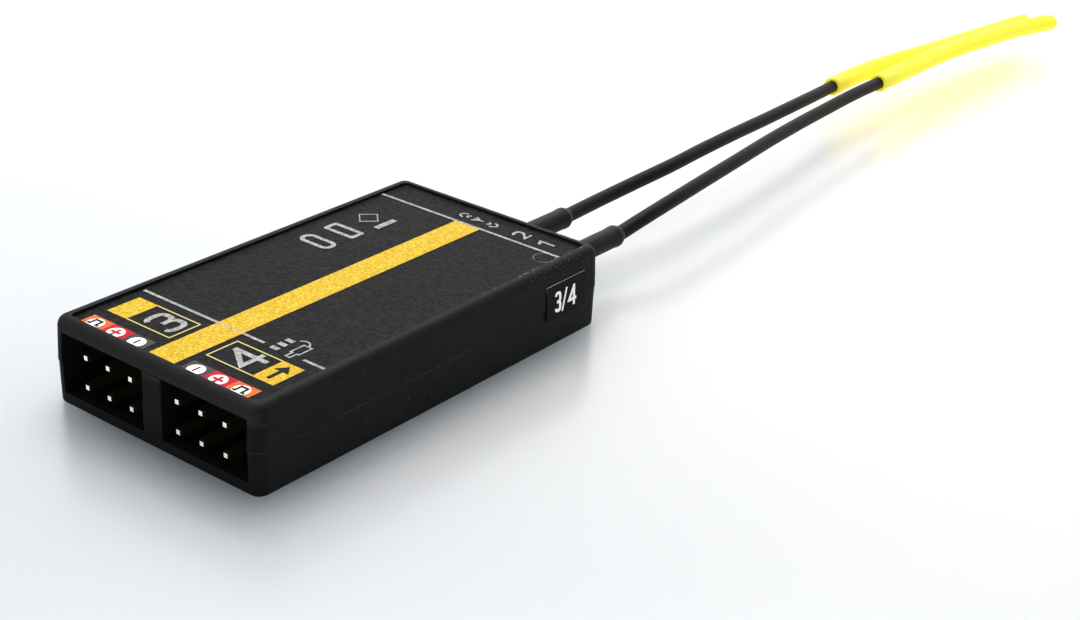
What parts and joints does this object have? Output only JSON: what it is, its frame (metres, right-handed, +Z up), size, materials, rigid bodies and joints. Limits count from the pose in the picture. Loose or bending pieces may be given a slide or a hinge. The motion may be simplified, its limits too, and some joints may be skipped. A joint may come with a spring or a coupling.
{
  "type": "rc receiver",
  "caption": "Small flat radio-control receiver: matte black two-part case with servo ports, a printed label with a yellow stripe, and coax antennas with yellow tips.",
  "frame": {"origin": "Bottom centre of the case, on the table.", "axes": "+X to the right seen from the port face, +Y from the port face to the antenna side, +Z up through the label."},
  "size_m": [0.0229, 0.147, 0.0074],
  "materials": {
    "case_black": "fine spark-eroded texture, matte",
    "label_black": "printed polycarbonate film, matte grain",
    "print_yellow": "screen print",
    "print_grey": "screen print",
    "print_orange": "screen print",
    "print_red": "screen print",
    "print_brown": "screen print",
    "print_white": "screen print",
    "print_black": "screen print",
    "sticker_black": "gloss laminated paper",
    "block_black": "moulded nylon",
    "gold_plate": "gold flash",
    "tin": "tin plate",
    "board_green": "solder mask",
    "chip_black": "moulded epoxy",
    "tantalum_yellow": "moulded epoxy",
    "ceramic_tan": "ceramic",
    "lamp_clear": "clear resin",
    "boot_black": "heat-shrink tube, satin",
    "coax_black": "coax jacket, satin",
    "sleeve_yellow": "heat-shrink tube, satin"
  },
  "bodies": {
    "root": {"upper_case": "case_black", "lower_case": "case_black", "label_film": "label_black", "yellow_print": "print_yellow", "grey_print": "print_grey", "orange_print": "print_orange", "red_print": "print_red", "dark_print": "print_brown", "white_print": "print_white", "black_print": "print_black", "side_sticker": "sticker_black", "sticker_number": "print_white", "pin_block_left": "block_black", "pin_block_right": "block_black", "pins_left": "gold_plate", "pins_right": "gold_plate", "pin_solder": "tin", "circuit_board": "board_green", "controller_chip": "chip_black", "shield_can": "tin", "radio_chip": "chip_black", "crystal": "tin", "voltage_regulator": "chip_black", "tantalum_capacitors": "tantalum_yellow", "chip_capacitors": "ceramic_tan", "chip_resistors": "chip_black", "status_light": "lamp_clear", "coax_ferrule_1": "gold_plate", "coax_ferrule_2": "gold_plate", "antenna_boot_1": "boot_black", "antenna_boot_2": "boot_black", "antenna_lead_1": "coax_black", "antenna_lead_2": "coax_black", "antenna_sleeve_1": "sleeve_yellow", "antenna_sleeve_2": "sleeve_yellow"}
  },
  "joints": []
}
